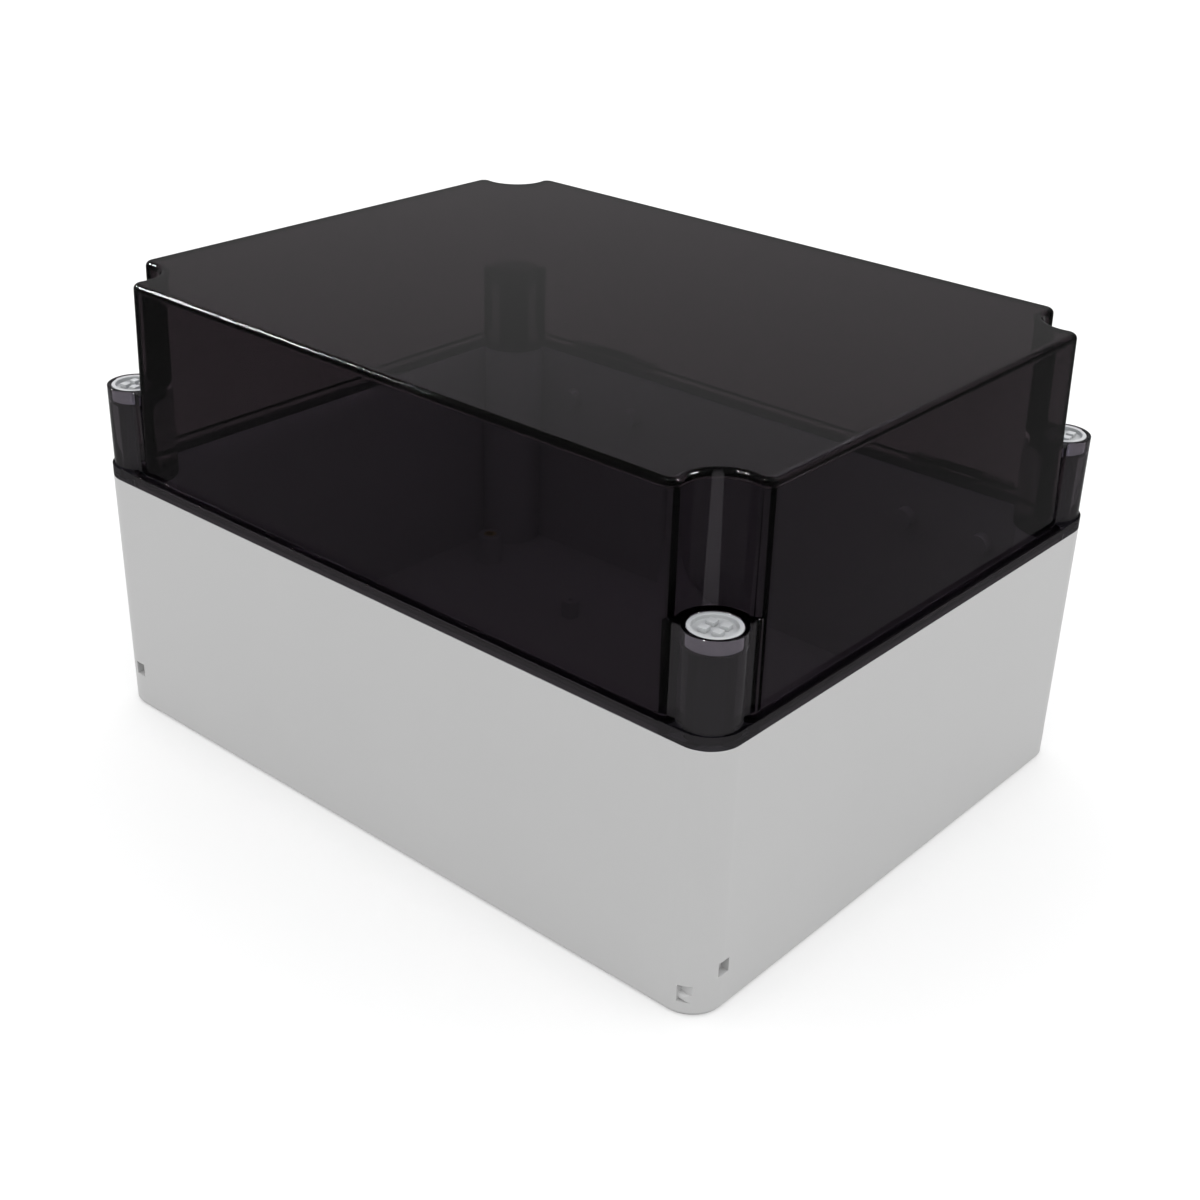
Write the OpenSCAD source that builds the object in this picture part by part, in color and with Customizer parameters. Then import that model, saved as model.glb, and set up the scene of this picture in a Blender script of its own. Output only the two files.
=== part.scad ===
// Wall-mounting enclosure with a deep transparent lid.
// Origin: centre of the underside. +X along the long side, -Y is the front, +Z up.

/* [Overall] */
// Outside length along X
length = 302; // [240:1:400]
// Outside width along Y
width = 232; // [190:1:300]
// Height of the base, up to the seam
base_h = 100; // [60:1:160]
// Height of the lid, seam to top
lid_h = 80; // [62:1:130]
// Outside radius of the base and rim corners
corner_r = 12.5; // [8:0.5:14]

/* [Base] */
// Thickness of the base walls
base_wall = 3.5; // [3.5:0.1:5]
// Thickness of the base floor
floor_t = 4; // [3:0.5:8]
// Rounding of the base's bottom edge
bottom_edge_r = 1; // [0.5:0.1:2]
// Draft of the base walls: how much further in the bottom lies than the top
base_draft = 0.4; // [0.2:0.1:1]
// Height of the foot pads
foot_h = 0.6; // [0.3:0.1:2]
// Length of a corner foot pad along each side
foot_l = 23; // [14:1:30]
// Distance of the small foot pads from the corners
pad_in = 38; // [34:1:50]
// Length of a small foot pad
pad_l = 6; // [4:1:12]
// Distance of the flat floor panel from the outside
panel_in = 14; // [8:1:30]
// Radius of the corner columns
column_r = 13.5; // [12.5:0.1:16]

/* [Lid] */
// Thickness of the lid walls
lid_wall = 3; // [2:0.1:3.4]
// Thickness of the lid's top
lid_top_t = 3; // [2:0.1:5]
// Height of the rim flange
rim_h = 5; // [4:0.5:8]
// Width of the ledge between the rim's face and the lid wall
ledge_w = 3; // [2:0.1:4]
// Draft of the lid walls: how much further in the top lies than the seam
lid_draft = 1.4; // [0.5:0.1:3]
// Rounding of the lid's top edge
top_edge_r = 2; // [0.5:0.1:3]
// Rounding of the shoulders beside each corner scallop
shoulder_r = 4; // [3.5:0.1:6]

/* [Posts] */
// Distance of each post's axis from both outside faces
post_in = 11.5; // [11:0.1:13]
// Radius of a corner post
post_r = 10.3; // [9.5:0.1:11]
// Height of a post above the seam
post_h = 36.5; // [26:0.5:50]
// Gap between post and scallop, filled by the web below the post's top
scallop_gap = 1.6; // [1:0.1:3]
// How much the scallop opens towards the top
scallop_flare = 1.1; // [0.5:0.1:2]
// Distance from the post's axis to the tip of its web, along the wall
web_reach = 13.5; // [12:0.1:15]
// Distance from the post's axis at which the web's side would cross the axis' plane
web_aim = 5.9; // [5:0.1:7]

/* [Seal] */
// Distance of the seal's middle line from the outside
seal_in = 2.5; // [2.3:0.1:3]
// Radius of the seal's middle line around a post's axis
seal_r = 11; // [10.5:0.1:11.5]
// Rounding of the seal's middle line beside a post
seal_shoulder_r = 3; // [2:0.1:5]
// Width of the tongue on the base
tongue_w = 1.8; // [1:0.1:2]
// Height of the tongue above the seam
tongue_h = 1.2; // [0.8:0.1:1.8]
// Depth of the groove in the lid
groove_d = 3; // [2.5:0.1:3.5]
// Clearance between tongue and groove, each side
groove_gap = 0.4; // [0.2:0.1:0.5]
// Clearance between gasket and tongue when the lid lies closed
gasket_gap = 0.2; // [0.1:0.05:0.3]

/* [Closures] */
// Radius of the closure's head
head_r = 8.55; // [7.5:0.05:9]
// Height of the closure's head
head_h = 5.5; // [4:0.5:8]
// Radius of the closure's shank
shank_r = 4.6; // [4:0.1:5]
// Running clearance between the closure and the lid
turn_gap = 0.1; // [0.02:0.01:0.1]
// Height of the closure's tip below the seam
tip_drop = 8.5; // [8:0.1:12]
// Bevel at the closure's tip
tip_bevel = 1; // [0.5:0.1:2]
// Radius of the cross pin
cross_r = 1.5; // [1:0.1:2]
// Length of the cross pin
cross_l = 13; // [12:0.5:14]
// Thickness of the plate that the cross pin locks under
plate_t = 4.2; // [3:0.1:5]
// Clearance between the locked cross pin and the plate
lock_gap = 0.2; // [0.1:0.05:0.5]
// Clearance round the shank in the plate
plate_gap = 0.3; // [0.2:0.1:0.6]
// Clearance each side of the cross pin in its slot
slot_gap = 0.4; // [0.2:0.1:0.6]
// How far the plate's opening runs inwards, for the swing of the lid
swing_room = 2.3; // [2:0.1:3]
// Radius of the room under the plate
socket_r = 9; // [8.5:0.1:9.5]
// Depth of the room under the plate
socket_d = 16; // [12:1:30]
// Radius of the well below the socket
well_r = 6.5; // [5:0.5:7]
// Radius of the wall-fixing hole
fixing_r = 2.6; // [2:0.1:3.5]
// Depth of the driver recess in the head
recess_d = 1.6; // [1:0.1:2.5]
// Width of the head's raised rim
head_rim = 1.5; // [0.8:0.1:1.6]
// Size of a square block in the driver recess
block_w = 3; // [2:0.1:3.4]
// Gap between two blocks
block_gap = 1.8; // [0.8:0.1:2]
// Angle of the blocks to the sides of the box
block_turn = 8; // [0:1:45]
// Thickness of the O-ring under the head
ring_t = 1.7; // [1.2:0.1:1.9]

/* [Hinge] */
// Distance of each hinge's middle from the side face
hinge_in = 61; // [56:1:80]
// Distance of the hinge's axis from the rear face
hinge_out = 5.5; // [5:0.1:8]
// Radius of the knuckles
knuckle_r = 4.2; // [3.6:0.1:4.6]
// Radius of the hinge pin
pin_r = 2; // [1.5:0.1:2.4]
// Running clearance of the pin in the lid's knuckle
pin_gap = 0.05; // [0.02:0.01:0.1]
// Length of the whole hinge
hinge_l = 44; // [36:1:60]
// Length of the lid's knuckle
lid_knuckle_l = 19.4; // [14:0.2:24]
// Clearance between two knuckles
knuckle_gap = 0.3; // [0.2:0.1:0.6]
// Thickness of the bracket's plate
bracket_t = 2.6; // [2:0.1:4]
// Height of the bracket's plate
bracket_h = 22; // [16:1:30]
// Distance of the bracket's plate below the seam
bracket_drop = 10; // [8:1:16]
// How far the arm of a knuckle runs down over the bracket's plate
arm_lap = 5; // [3:0.5:10]
// Distance of the bracket screws from the bracket's ends
screw_in = 4.4; // [4:0.1:6]
// Radius of the bracket screws
screw_r = 1.6; // [1.2:0.1:2]
// Length of the bracket screws
screw_l = 10; // [8:0.5:12]
// Radius of the bracket screws' heads
screw_head_r = 3.4; // [2.8:0.1:4]
// Height of the bracket screws' heads
screw_head_h = 2; // [1.6:0.1:3]
// Span of the cross recess in a screw's head
recess_span = 3.4; // [2.4:0.1:4]
// Width of the cross recess's arms
recess_w = 0.8; // [0.6:0.1:1.2]
// Depth of the cross recess
recess_cut = 1; // [0.6:0.1:1.4]
// Clearance round the bracket screws in the bracket
screw_gap = 0.4; // [0.2:0.1:0.6]
// Radius of the bosses for the bracket screws
screw_boss_r = 4.2; // [3.6:0.1:5]

/* [Fittings] */
// Distance of the plate bosses from the side faces
plate_in_x = 26; // [24:1:60]
// Distance of the plate bosses from the front and rear faces
plate_in_y = 41; // [37:1:60]
// Radius of the plate bosses
boss_r = 5.5; // [4.5:0.1:8]
// Height of the plate bosses above the floor
boss_h = 14; // [10:1:30]
// Radius of the brass inserts
insert_r = 3; // [2.6:0.1:3.5]
// Length of the brass inserts
insert_l = 8; // [6:0.5:9]
// Radius of the bore in a brass insert
insert_bore_r = 1.65; // [1.2:0.05:2]
// Distance between the small pilot bosses along X
pilot_x = 120; // [60:1:160]
// Distance between the small pilot bosses along Y
pilot_y = 120; // [60:1:140]
// Radius of the small pilot bosses
pilot_boss_r = 3.8; // [3:0.1:5]
// Height of the small pilot bosses above the floor
pilot_boss_h = 8; // [6:1:9]
// Radius of the pilot holes
pilot_r = 1.3; // [1:0.1:1.8]

/* [Lug windows] */
// Depth of the windows that take external lugs
window_d = 3.2; // [2:0.1:4]
// Width of the large window
window_w = 8.5; // [5:0.5:9]
// Height of the large window
window_h = 6.5; // [4:0.5:8]
// Height of the large window's lower edge
window_z = 5.5; // [4:0.5:10]
// Width of the small window
slot_w = 5; // [4:0.5:7]
// Height of the small window
slot_h = 5.5; // [4:0.5:7]
// Height of the small window's lower edge
slot_z = 14; // [13:0.5:20]
// Distance of the small window from the corner
slot_in = 10.5; // [10:0.5:16]
// Radius of the latch bar in the large window
latch_r = 1.5; // [1:0.1:2]
// Distance from the box's corner line to the large window
window_in = 1; // [0:0.5:2]

/* [Hidden] */
$fn = 64;
eps = 0.01;
over = 1;
// Steps of each shoulder, scallop and fillet in a lofted shape
shoulder_steps = 5;
scallop_steps = 9;
fillet_steps = 3;
corner_steps = 7;
// Corners as [side along X, side along Y]
FRONT_LEFT = [-1, -1];
FRONT_RIGHT = [1, -1];
REAR_LEFT = [-1, 1];
REAR_RIGHT = [1, 1];
CORNERS = [FRONT_LEFT, FRONT_RIGHT, REAR_LEFT, REAR_RIGHT];
top_z = base_h + lid_h;
post_z = base_h + post_h;
post_x = length / 2 - post_in;
post_y = width / 2 - post_in;
scallop_r = post_r + scallop_gap;
bore_r = shank_r + turn_gap;
head_z = post_z - head_h;
cross_z = base_h - plate_t - lock_gap - cross_r;
ring_r = bore_r - turn_gap / 2 + ring_t / 2;
ring_room_r = ring_r + ring_t / 2 + turn_gap / 2;
ring_room_h = ring_t + turn_gap;
hinge_x = length / 2 - hinge_in;
hinge_y = width / 2 + hinge_out;
plate_x = length / 2 - plate_in_x;
plate_y = width / 2 - plate_in_y;
base_knuckle_l = (hinge_l - lid_knuckle_l) / 2 - knuckle_gap;
bracket_top = base_h - bracket_drop;
bracket_screw_z = bracket_top - bracket_h / 2;
bracket_screw_x = hinge_l / 2 - screw_in;
boss_top = floor_t + boss_h;
gasket_h = groove_d - tongue_h - gasket_gap;

// Outlines, as lists of points in the XY plane, counter-clockwise

function arc_points(centre, r, from, to, steps) =
  [for (i = [0:steps]) let (a = from + (to - from) * i / steps) centre + r * [cos(a), sin(a)]];
function backwards(list) = [for (i = [len(list) - 1:-1:0]) list[i]];
// A corner's points are measured inwards from the two outside faces, and placed for its side
function placed(points, side) =
  [for (p = points) [side[0] * (length / 2 - p[0]), side[1] * (width / 2 - p[1])]];
function all_corners(points) = concat(
  placed(points, FRONT_RIGHT), backwards(placed(points, REAR_RIGHT)),
  placed(points, REAR_LEFT), backwards(placed(points, FRONT_LEFT)));
// Corner with a scallop round the post's axis: shoulder, scallop, shoulder
function scallop_corner(inset, r, shoulder) =
  let (across = inset + shoulder - post_in,
       along = sqrt((r + shoulder) ^ 2 - across ^ 2),
       turn = atan2(across, along),
       first = [post_in + along, inset + shoulder],
       last = [inset + shoulder, post_in + along])
  concat(arc_points(first, shoulder, -90, turn - 180, shoulder_steps),
         arc_points([post_in, post_in], r, turn, 90 - turn, scallop_steps),
         arc_points(last, shoulder, 270 - turn, 180, shoulder_steps));
function scallop_outline(inset, r, shoulder) = all_corners(scallop_corner(inset, r, shoulder));
function round_outline(inset, r) =
  all_corners(arc_points([inset + r, inset + r], r, 270, 180, corner_steps));
function at_height(points, z) = [for (p = points) [p[0], p[1], z]];

// Closed solid through a stack of level rings that have the same number of points
module loft(rings) {
  n = len(rings[0]);
  last = len(rings) - 1;
  middle = [[0, 0, rings[0][0][2]], [0, 0, rings[last][0][2]]];
  low = (last + 1) * n;
  polyhedron(
    points = concat([for (ring = rings) each ring], middle),
    faces = [for (i = [0:n - 1]) let (j = (i + 1) % n) each concat(
      [[low, i, j], [low + 1, last * n + j, last * n + i]],
      [for (k = [0:last - 1]) let (a = k * n, b = a + n)
        each [[a + i, b + i, b + j], [a + i, b + j, a + j]]])]);
}

module at_corner(side) {
  translate([side[0] * post_x, side[1] * post_y, 0]) children();
}
module rounded_plate(inset, r) {
  x = length / 2 - inset;
  y = width / 2 - inset;
  square([2 * x, 2 * (y - r)], center = true);
  square([2 * (x - r), 2 * y], center = true);
  for (side = CORNERS) translate([side[0] * (x - r), side[1] * (y - r)]) circle(r);
}

// Seal: tongue, groove and gasket follow one middle line

module seal_band(w) {
  difference() {
    polygon(scallop_outline(seal_in - w / 2, seal_r - w / 2, seal_shoulder_r + w / 2));
    polygon(scallop_outline(seal_in + w / 2, seal_r + w / 2, seal_shoulder_r - w / 2));
  }
}

// Base

function base_ring(z, extra) =
  let (inset = base_draft * (1 - z / base_h) + extra)
  at_height(round_outline(inset, corner_r - extra), z);
module base_outside() {
  loft(concat(
    [for (i = [0:fillet_steps]) let (a = 90 * i / fillet_steps)
      base_ring(foot_h + bottom_edge_r * (1 - cos(a)), bottom_edge_r * (1 - sin(a)))],
    [base_ring(base_h, 0)]));
}
module base_hollow() {
  loft([at_height(round_outline(base_wall + base_draft, corner_r - base_wall), floor_t),
        at_height(round_outline(base_wall, corner_r - base_wall), base_h + over)]);
}
// Flat floor panel, a pad in each corner and two small pads beside it, which the box stands on
module feet() {
  linear_extrude(foot_h + eps) {
    rounded_plate(panel_in, corner_r);
    intersection() {
      rounded_plate(base_draft + bottom_edge_r, corner_r - bottom_edge_r);
      for (side = CORNERS)
        translate([side[0] * length / 2, side[1] * width / 2]) scale([-side[0], -side[1]]) {
          square(foot_l);
          translate([pad_in, 0]) square([pad_l, panel_in + over]);
          translate([0, pad_in]) square([panel_in + over, pad_l]);
        }
    }
  }
}
module corner_columns() {
  for (side = CORNERS) at_corner(side) cylinder(r = column_r, h = base_h + 2 * over);
}
module plate_bosses() {
  for (side = CORNERS)
    translate([side[0] * plate_x, side[1] * plate_y, 0]) cylinder(r = boss_r, h = boss_top);
}
module pilot_bosses() {
  for (side = CORNERS)
    translate([side[0] * pilot_x / 2, side[1] * pilot_y / 2, 0])
      cylinder(r = pilot_boss_r, h = floor_t + pilot_boss_h);
}
module screw_bosses() {
  for (x = [-hinge_x, hinge_x]) for (dx = [-bracket_screw_x, bracket_screw_x])
    translate([x + dx, width / 2 + bracket_t - screw_l - over, bracket_screw_z])
      rotate([-90, 0, 0]) cylinder(r = screw_boss_r, h = screw_l);
}
// Room for a closure: plate opening, pin slot, socket, well and wall-fixing hole
module closure_room(side) {
  inwards = -side[1];
  at_corner(side) {
    translate([0, 0, base_h - plate_t - eps]) linear_extrude(plate_t + tongue_h + over) {
      circle(shank_r + plate_gap);
      translate([0, inwards * swing_room]) circle(shank_r + plate_gap);
      translate([-shank_r - plate_gap, min(0, inwards * swing_room)])
        square([2 * (shank_r + plate_gap), swing_room]);
      translate([-cross_r - slot_gap, -cross_l / 2 - slot_gap + min(0, inwards * swing_room)])
        square([2 * (cross_r + slot_gap), cross_l + 2 * slot_gap + swing_room]);
    }
    translate([0, 0, base_h - plate_t - socket_d]) cylinder(r = socket_r, h = socket_d);
    translate([0, 0, floor_t]) cylinder(r = well_r, h = base_h - plate_t - socket_d - floor_t + eps);
    translate([0, 0, -over]) cylinder(r = fixing_r, h = floor_t + 2 * over);
  }
}
// One face of a lug receiver, cut from the corner at the origin into +X, with the face at y = 0
module large_window() {
  difference() {
    translate([window_in, -over, window_z]) cube([window_w, window_d + over, window_h]);
    translate([0, window_d, window_z + latch_r])
      rotate([0, 90, 0]) cylinder(r = latch_r, h = window_in + window_w + over);
  }
}
module small_window() {
  translate([slot_in, -over, slot_z]) cube([slot_w, window_d + over, slot_h]);
}
module lug_windows() {
  for (turn = [0, 180]) rotate(turn) {
    translate([length / 2, -width / 2, 0]) mirror([1, 0, 0]) large_window();
    translate([-length / 2, -width / 2, 0]) small_window();
    translate([length / 2, width / 2, 0]) rotate(-90) mirror([0, 1, 0]) large_window();
    translate([length / 2, -width / 2, 0]) rotate(90) small_window();
  }
}
module base_shell() {
  color("#b9bbba") {
    difference() {
      union() {
        base_outside();
        feet();
        translate([0, 0, base_h - eps]) linear_extrude(tongue_h + eps) seal_band(tongue_w);
      }
      difference() {
        base_hollow();
        corner_columns();
        plate_bosses();
        pilot_bosses();
        screw_bosses();
      }
      for (side = CORNERS) {
        closure_room(side);
        translate([side[0] * plate_x, side[1] * plate_y, boss_top - insert_l])
          cylinder(r = insert_r, h = insert_l + over);
        translate([side[0] * pilot_x / 2, side[1] * pilot_y / 2, floor_t])
          cylinder(r = pilot_r, h = pilot_boss_h + over);
      }
      for (x = [-hinge_x, hinge_x]) for (dx = [-bracket_screw_x, bracket_screw_x])
        translate([x + dx, width / 2 + bracket_t - screw_l, bracket_screw_z])
          rotate([-90, 0, 0]) cylinder(r = screw_r, h = screw_l + over);
      lug_windows();
    }
  }
}
module insert(side) {
  color("#c8a04a")
    translate([side[0] * plate_x, side[1] * plate_y, boss_top - insert_l])
      difference() {
        cylinder(r = insert_r, h = insert_l);
        translate([0, 0, -over]) cylinder(r = insert_bore_r, h = insert_l + 2 * over);
      }
}

// Hinge

module along_x(x, r, l) {
  translate([x - l / 2, hinge_y, base_h]) rotate([0, 90, 0]) cylinder(r = r, h = l);
}
module hinge_bracket(side) {
  x = side * hinge_x;
  knuckle_x = (hinge_l - base_knuckle_l) / 2;
  color("#b9bbba")
    difference() {
      union() {
        translate([x - hinge_l / 2, width / 2, bracket_top - bracket_h])
          cube([hinge_l, bracket_t, bracket_h]);
        for (dx = [-knuckle_x, knuckle_x]) {
          along_x(x + dx, knuckle_r, base_knuckle_l);
          translate([x + dx - base_knuckle_l / 2, width / 2, bracket_top - arm_lap])
            cube([base_knuckle_l, hinge_out, bracket_drop + arm_lap]);
        }
      }
      along_x(x, pin_r, hinge_l + 2 * over);
      for (dx = [-bracket_screw_x, bracket_screw_x])
        translate([x + dx, width / 2 - over, bracket_screw_z])
          rotate([-90, 0, 0]) cylinder(r = screw_r + screw_gap, h = bracket_t + 2 * over);
    }
}
module bracket_screws(side) {
  color("#8d9093")
    for (dx = [-bracket_screw_x, bracket_screw_x])
      translate([side * hinge_x + dx, width / 2 + bracket_t - screw_l, bracket_screw_z])
        rotate([-90, 0, 0]) {
          cylinder(r = screw_r, h = screw_l + eps);
          translate([0, 0, screw_l]) difference() {
            cylinder(r = screw_head_r, h = screw_head_h);
            for (turn = [0, 90]) rotate(turn)
              translate([-recess_span / 2, -recess_w / 2, screw_head_h - recess_cut])
                cube([recess_span, recess_w, recess_cut + over]);
          }
        }
}
module hinge_pin(side) {
  color("#c4c7ca") along_x(side * hinge_x, pin_r, hinge_l);
}

// Lid

function lid_ring(z, extra) =
  let (up = (z - base_h) / lid_h,
       inset = ledge_w + lid_draft * up + extra,
       r = scallop_r + scallop_flare * up + extra)
  at_height(scallop_outline(inset, r, shoulder_r - extra), z);
module lid_outside() {
  loft(concat(
    [lid_ring(base_h + over, 0)],
    [for (i = [0:fillet_steps]) let (a = 90 * i / fillet_steps)
      lid_ring(top_z - top_edge_r * (1 - sin(a)), top_edge_r * (1 - cos(a)))]));
}
module lid_hollow() {
  loft([lid_ring(base_h - over, lid_wall), lid_ring(top_z - lid_top_t, lid_wall)]);
}
// Web between a post and the two walls beside it, as an outline round the post's axis
module web_outline() {
  face = ledge_w + lid_draft * post_h / lid_h - post_in + eps;
  inside = scallop_r + lid_wall;
  polygon([[0, -web_aim], [web_reach, face], [inside, inside], [face, web_reach], [-web_aim, 0]]);
}
module lid_knuckle(side) {
  x = side * hinge_x;
  along_x(x, knuckle_r, lid_knuckle_l);
  translate([x - lid_knuckle_l / 2, width / 2 - over, base_h])
    cube([lid_knuckle_l, hinge_out + over, knuckle_r]);
}
module lid_shell() {
  color("#2b292c", 0.75)
    difference() {
      union() {
        translate([0, 0, base_h]) linear_extrude(rim_h) rounded_plate(0, corner_r);
        lid_outside();
        for (side = CORNERS) at_corner(side) {
          translate([0, 0, base_h]) cylinder(r = post_r, h = post_h);
          translate([0, 0, base_h]) linear_extrude(post_h) scale([-side[0], -side[1]]) web_outline();
        }
        for (side = [-1, 1]) lid_knuckle(side);
      }
      lid_hollow();
      translate([0, 0, base_h - eps]) linear_extrude(groove_d + eps) seal_band(tongue_w + 2 * groove_gap);
      for (side = CORNERS) at_corner(side) {
        translate([0, 0, base_h - over]) cylinder(r = bore_r, h = post_h + 2 * over);
        translate([0, 0, head_z]) cylinder(r = head_r + turn_gap, h = head_h + over);
        translate([0, 0, head_z - ring_room_h]) cylinder(r = ring_room_r, h = ring_room_h + eps);
      }
      for (side = [-1, 1]) along_x(side * hinge_x, pin_r + pin_gap, lid_knuckle_l + 2 * over);
    }
}
module gasket() {
  color("#1b1b1c")
    translate([0, 0, base_h + groove_d - gasket_h]) linear_extrude(gasket_h)
      seal_band(tongue_w + groove_gap);
}
module o_ring(side) {
  color("#161616")
    at_corner(side) translate([0, 0, head_z - ring_room_h / 2])
      rotate_extrude() translate([ring_r, 0]) circle(ring_t / 2);
}

// Closures

module driver_blocks() {
  pitch = block_w + block_gap;
  rotate(block_turn)
    for (x = [-pitch / 2, pitch / 2]) for (y = [-pitch / 2, pitch / 2])
      translate([x - block_w / 2, y - block_w / 2, 0]) cube([block_w, block_w, recess_d]);
}
module closure(side) {
  color("#b4b7b7")
    at_corner(side) difference() {
      union() {
        translate([0, 0, base_h - tip_drop]) {
          cylinder(r1 = shank_r - tip_bevel, r2 = shank_r, h = tip_bevel);
          translate([0, 0, tip_bevel]) cylinder(r = shank_r, h = head_z - base_h + tip_drop);
        }
        translate([0, 0, head_z]) difference() {
          cylinder(r = head_r, h = head_h);
          translate([0, 0, head_h - recess_d]) difference() {
            cylinder(r = head_r - head_rim, h = recess_d + over);
            driver_blocks();
          }
        }
      }
      translate([0, -cross_l, cross_z]) rotate([-90, 0, 0]) cylinder(r = cross_r, h = 2 * cross_l);
    }
}
module cross_pin(side) {
  color("#c4c7ca")
    at_corner(side) translate([0, -cross_l / 2, cross_z])
      rotate([-90, 0, 0]) cylinder(r = cross_r, h = cross_l);
}

base_shell();
insert(FRONT_LEFT);  // insert_front_left
insert(FRONT_RIGHT);  // insert_front_right
insert(REAR_LEFT);  // insert_rear_left
insert(REAR_RIGHT);  // insert_rear_right
hinge_bracket(-1);  // hinge_bracket_left
hinge_bracket(1);  // hinge_bracket_right
bracket_screws(-1);  // bracket_screws_left
bracket_screws(1);  // bracket_screws_right
hinge_pin(-1);  // hinge_pin_left
hinge_pin(1);  // hinge_pin_right
lid_shell();
gasket();
o_ring(FRONT_LEFT);  // o_ring_front_left
o_ring(FRONT_RIGHT);  // o_ring_front_right
o_ring(REAR_LEFT);  // o_ring_rear_left
o_ring(REAR_RIGHT);  // o_ring_rear_right
closure(FRONT_LEFT);  // closure_front_left
closure(FRONT_RIGHT);  // closure_front_right
closure(REAR_LEFT);  // closure_rear_left
closure(REAR_RIGHT);  // closure_rear_right
cross_pin(FRONT_LEFT);  // cross_pin_front_left
cross_pin(FRONT_RIGHT);  // cross_pin_front_right
cross_pin(REAR_LEFT);  // cross_pin_rear_left
cross_pin(REAR_RIGHT);  // cross_pin_rear_right
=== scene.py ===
"""Looks of a hinged wall enclosure: light grey moulded base and a deep smoked transparent lid."""

from math import atan2, cos, degrees, pi, radians, sin, sqrt

import bmesh
import bpy
from bpy.props import FloatProperty, FloatVectorProperty, PointerProperty
from mathutils import Matrix, Vector


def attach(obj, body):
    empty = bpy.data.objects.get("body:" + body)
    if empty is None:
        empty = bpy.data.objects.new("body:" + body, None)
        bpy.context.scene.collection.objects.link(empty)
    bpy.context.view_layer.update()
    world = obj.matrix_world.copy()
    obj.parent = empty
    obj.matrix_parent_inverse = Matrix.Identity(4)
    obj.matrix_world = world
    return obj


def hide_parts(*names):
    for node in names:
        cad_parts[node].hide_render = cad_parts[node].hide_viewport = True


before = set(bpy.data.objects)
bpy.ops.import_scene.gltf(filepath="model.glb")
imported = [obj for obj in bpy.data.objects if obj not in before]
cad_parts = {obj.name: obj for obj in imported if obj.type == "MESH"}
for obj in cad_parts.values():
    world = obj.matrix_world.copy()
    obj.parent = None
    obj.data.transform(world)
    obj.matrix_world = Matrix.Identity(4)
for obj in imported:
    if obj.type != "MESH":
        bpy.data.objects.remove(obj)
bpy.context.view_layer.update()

bl_info = {
    "name": "Hinged Enclosure",
    "version": (1, 0, 0),
    "blender": (4, 5, 0),
    "location": "View3D > Sidebar > Enclosure",
    "description": "Builds the pieces, finishes and stage of a hinged wall enclosure",
    "category": "Object",
}

MM = 0.001
# Each corner's side along X and along Y, with the front at -Y
CORNERS = {
    "front_left": (-1, -1),
    "front_right": (1, -1),
    "rear_left": (-1, 1),
    "rear_right": (1, 1),
}
HINGE_SIDES = {"left": -1, "right": 1}
# Steps of a corner, of a scallop's shoulder, of a small rounding and of a full turn
ARC_STEPS = 24
SHOULDER_STEPS = 12
FILLET_STEPS = 6
ROUND_STEPS = 96
FILLET_ANGLES = [radians(90 * i / FILLET_STEPS) for i in range(FILLET_STEPS + 1)]
# How far a cutter runs past what it cuts, and how far two joined shapes lap, in millimetres
OVER = 1.0
SEAM_EPS = 0.01
# Rounding of the floor bosses and bevel of the lid's knuckles, in millimetres
BOSS_EDGE = 0.4
KNUCKLE_EDGE = 0.3
# Degrees between two faces above which their edge stays sharp
SHARP_ANGLE = 35
# Refractive index of polycarbonate and polyamide, rounded to that of most plastics
PLASTIC_IOR = 1.5
# Millimetres across: patches of slightly uneven colour or flatness that a large moulding has
PATCH_MM = 40
# The lid's gloss: its roughness, the index that sets how it grows at a slant, and what the rim band keeps of it
GLOSS_ROUGHNESS = 0.06
GLOSS_IOR = 1.05
RIM_GLOSS = 0.25
# Upright part of a face's normal over which the lid's milky veil fades out
LEVEL_FADE = (0.3, 0.8)
# Where the lid's veil and its dull band end, from the ledge up, and a post's tint, from its top up, in millimetres
VEIL_END, BAND_END, POST_END = -0.3, 0.7, 0.2
# Height on the sky, from 0 at the horizon to 1, between which its light grows
SKY_RISE = (0.2, 0.45)
# Reflectance of the studio floor, and what it adds where it is seen, so that it comes out white
FLOOR_GREY = 0.45
FLOOR_GLOW = 0.36
FLOOR_REACH_MM = 4000
# Softboxes: places and aim in metres, side in metres, and radiance
SOFTBOXES = {
    "softbox_left": (-0.8, -0.38, 0.68),
    "softbox_back_right": (0.62, 0.3, 0.82),
    "softbox_front": (-0.06, -0.53, 0.95),
}
SOFTBOX_AIM = (0, 0, 0.15)
SOFTBOX_SIDE = 0.35
SOFTBOX_RADIANCE = 240
# What the camera looks at, in millimetres, and the width of its sensor
CAMERA_TARGET = (-7.9, 17.4, 45.94)
SENSOR_MM = 36


def size(name, description, mm):
    """A length that a user may change, given here in millimetres."""
    return FloatProperty(name=name, description=description, default=mm * MM, min=0, unit="LENGTH", precision=5)


def share(name, description, default):
    """A number from 0 to 1 that a user may change."""
    return FloatProperty(name=name, description=description, default=default, min=0, max=1, subtype="FACTOR")


def turn(name, description, degrees_):
    """An angle that a user may change, given here in degrees."""
    return FloatProperty(name=name, description=description, default=radians(degrees_), subtype="ANGLE")


def linear(hex_colour):
    """A scene-linear colour with alpha from an sRGB hex value."""
    channels = [int(hex_colour[i : i + 2], 16) / 255 for i in (1, 3, 5)]
    return [c / 12.92 if c <= 0.04045 else ((c + 0.055) / 1.055) ** 2.4 for c in channels] + [1.0]


def colour(name, description, hex_colour):
    """A colour that a user may change, given here as an sRGB hex value."""
    tone = linear(hex_colour)
    return FloatVectorProperty(name=name, description=description, size=4, min=0, max=1, subtype="COLOR", default=tone)


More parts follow.
